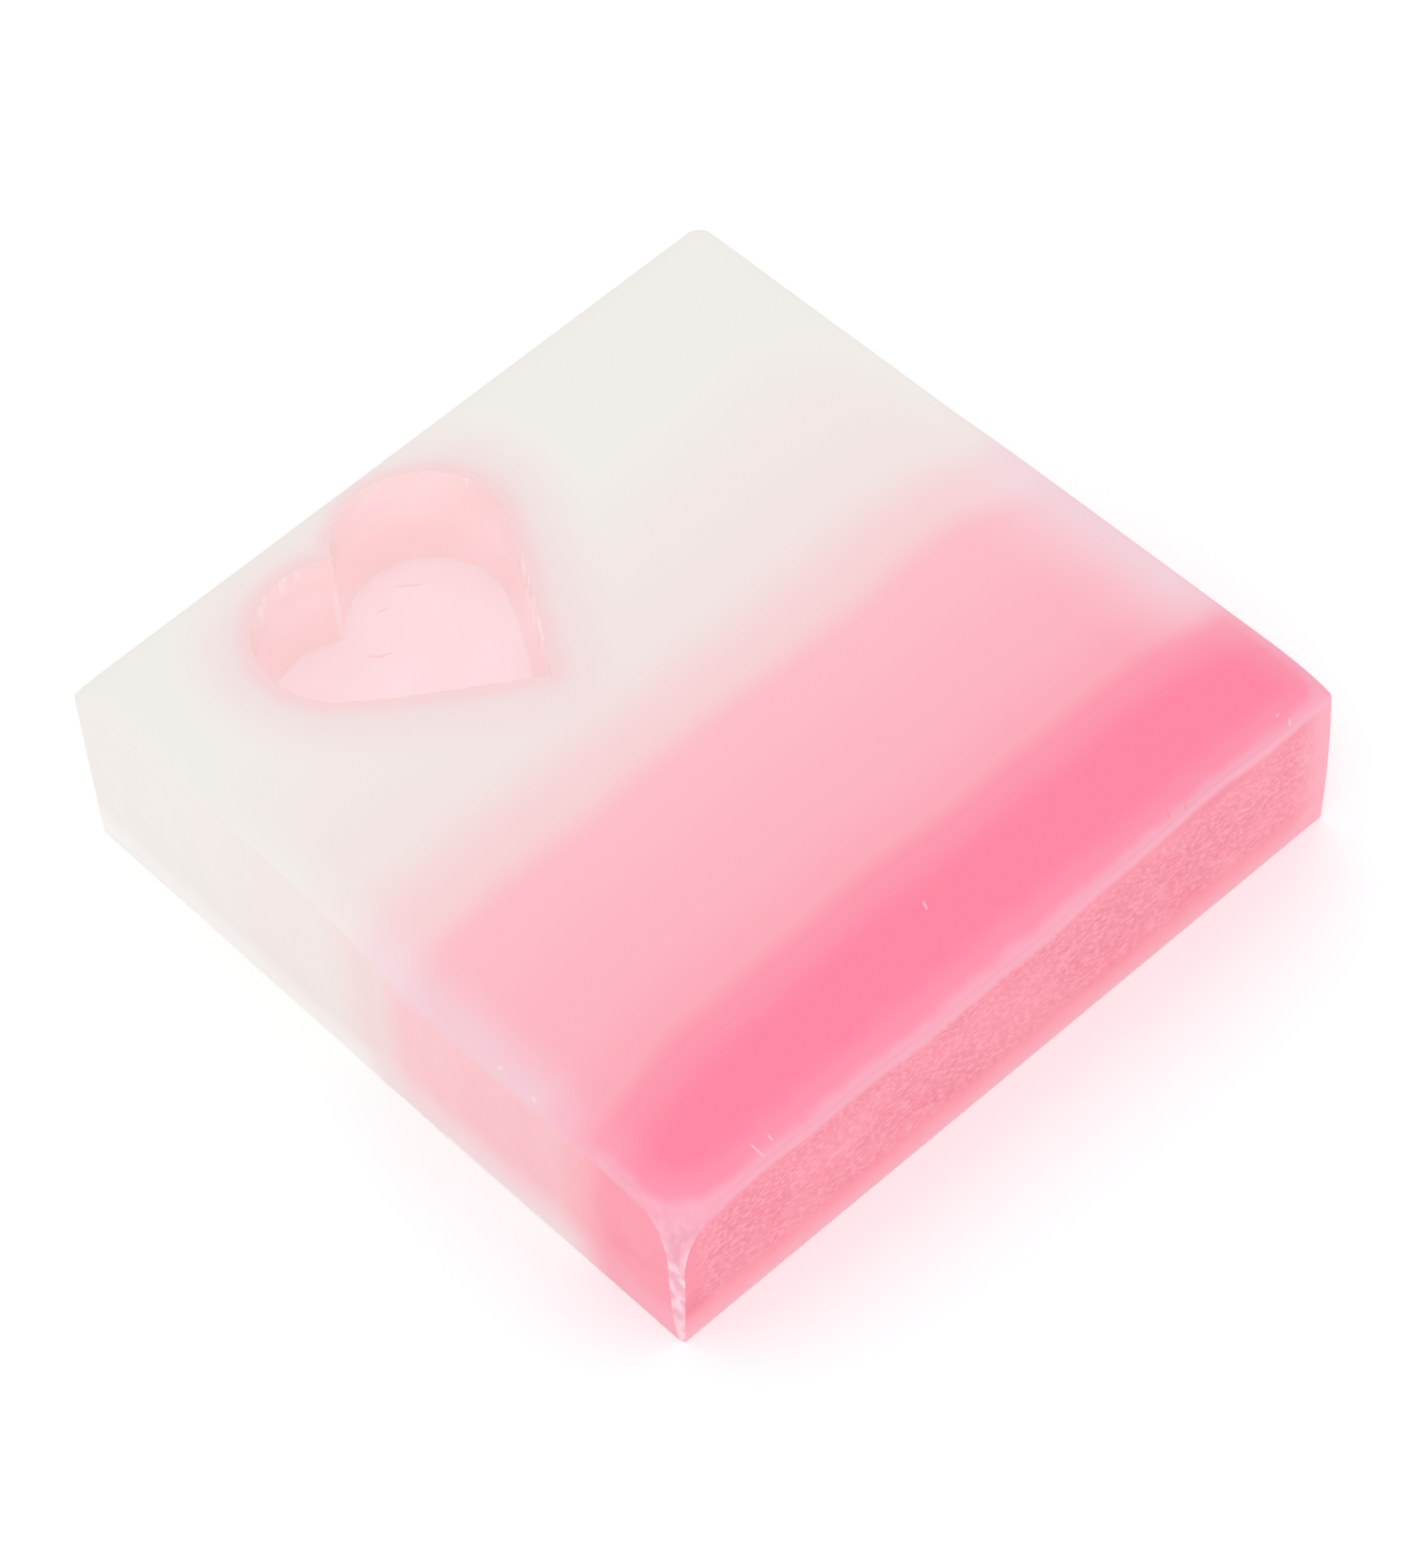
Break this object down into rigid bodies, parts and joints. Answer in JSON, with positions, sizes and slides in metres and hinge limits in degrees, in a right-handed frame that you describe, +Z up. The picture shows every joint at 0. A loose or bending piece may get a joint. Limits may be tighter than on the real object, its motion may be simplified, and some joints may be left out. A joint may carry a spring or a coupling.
{
  "type": "soap slice",
  "caption": "Square slice of layered glycerine soap, white over light pink over deep pink, with a clear pink heart column running through its white layer.",
  "frame": {"origin": "middle of the underside, which is one of the two cut faces", "axes": "+Z up through the slice's thickness, +Y up the loaf from the deep pink pour to the white one, +X across the loaf"},
  "size_m": [0.0764, 0.0768, 0.0188],
  "materials": {
    "white_soap": "satin, faintly translucent white soap",
    "light_pink_soap": "satin, translucent light pink soap",
    "deep_pink_soap": "satin, translucent deep pink soap, wrinkled on its poured end",
    "heart_soap": "clear glycerine soap with a pink tint"
  },
  "bodies": {
    "root": {"white_layer": "white_soap", "light_pink_layer": "light_pink_soap", "deep_pink_layer": "deep_pink_soap", "heart_embed": "heart_soap"}
  },
  "joints": []
}
